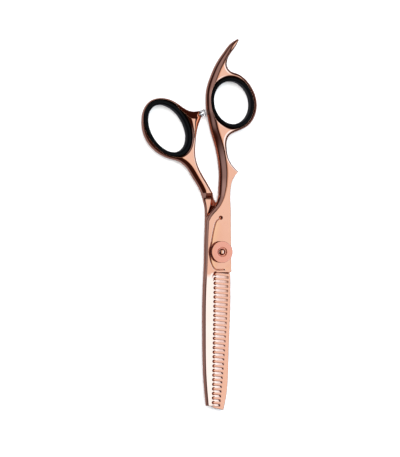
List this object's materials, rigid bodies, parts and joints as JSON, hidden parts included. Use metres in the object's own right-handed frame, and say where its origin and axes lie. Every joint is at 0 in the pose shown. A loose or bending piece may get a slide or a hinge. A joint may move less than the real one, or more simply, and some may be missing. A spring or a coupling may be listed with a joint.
{
  "type": "thinning shears",
  "caption": "Hair thinning shears: a toothed and a plain blade pivot on an adjustable tension screw, with offset finger rings, soft ring inserts, a finger rest and a closing bumper.",
  "frame": {"origin": "on the pivot axis, at the resting plane (the flat back of the pivot screw's head)", "axes": "+Z along the pivot axis out of the tension dial's face, +Y towards the finger rings, -Y towards the blade tips, +X towards the finger ring's side"},
  "size_m": [0.0538, 0.1681, 0.0099],
  "materials": {
    "rose_gold": "mirror-polished rose gold titanium coating on steel",
    "rose_gold_dial": "polished rose gold coating, fine turned face",
    "ring_rubber": "smooth soft black rubber",
    "bumper_steel": "turned steel",
    "bumper_silicone": "frosted grey silicone",
    "screw_steel": "polished, coated as the halves",
    "bushing_brass": "turned",
    "slip_plastic": "smooth low-friction plastic",
    "spring_steel": "bright spring steel"
  },
  "bodies": {
    "finger_side": {"finger_half": "rose_gold", "finger_ring_insert": "ring_rubber", "pivot_bushing": "bushing_brass", "friction_washer": "slip_plastic"},
    "thumb_side": {"thumb_half": "rose_gold", "thumb_ring_insert": "ring_rubber", "bumper_stud": "bumper_steel", "bumper_pad": "bumper_silicone", "pivot_screw": "screw_steel", "ride_washer": "slip_plastic", "wave_spring": "spring_steel", "click_plate": "spring_steel"},
    "dial": {"tension_dial": "rose_gold_dial", "screw_cap": "rose_gold_dial", "detent_balls": "spring_steel", "detent_springs": "spring_steel"}
  },
  "joints": [
    {"name": "thumb_pivot", "type": "hinge", "parent": "finger_side", "child": "thumb_side", "pos_m": [0, 0, 0.00325], "axis": [0, 0, 1], "range_deg": [0, 50]},
    {"name": "dial_turn", "type": "hinge", "parent": "thumb_side", "child": "dial", "pos_m": [0, 0, 0.0085], "axis": [0, 0, 1], "range_deg": [-90, 90]}
  ]
}
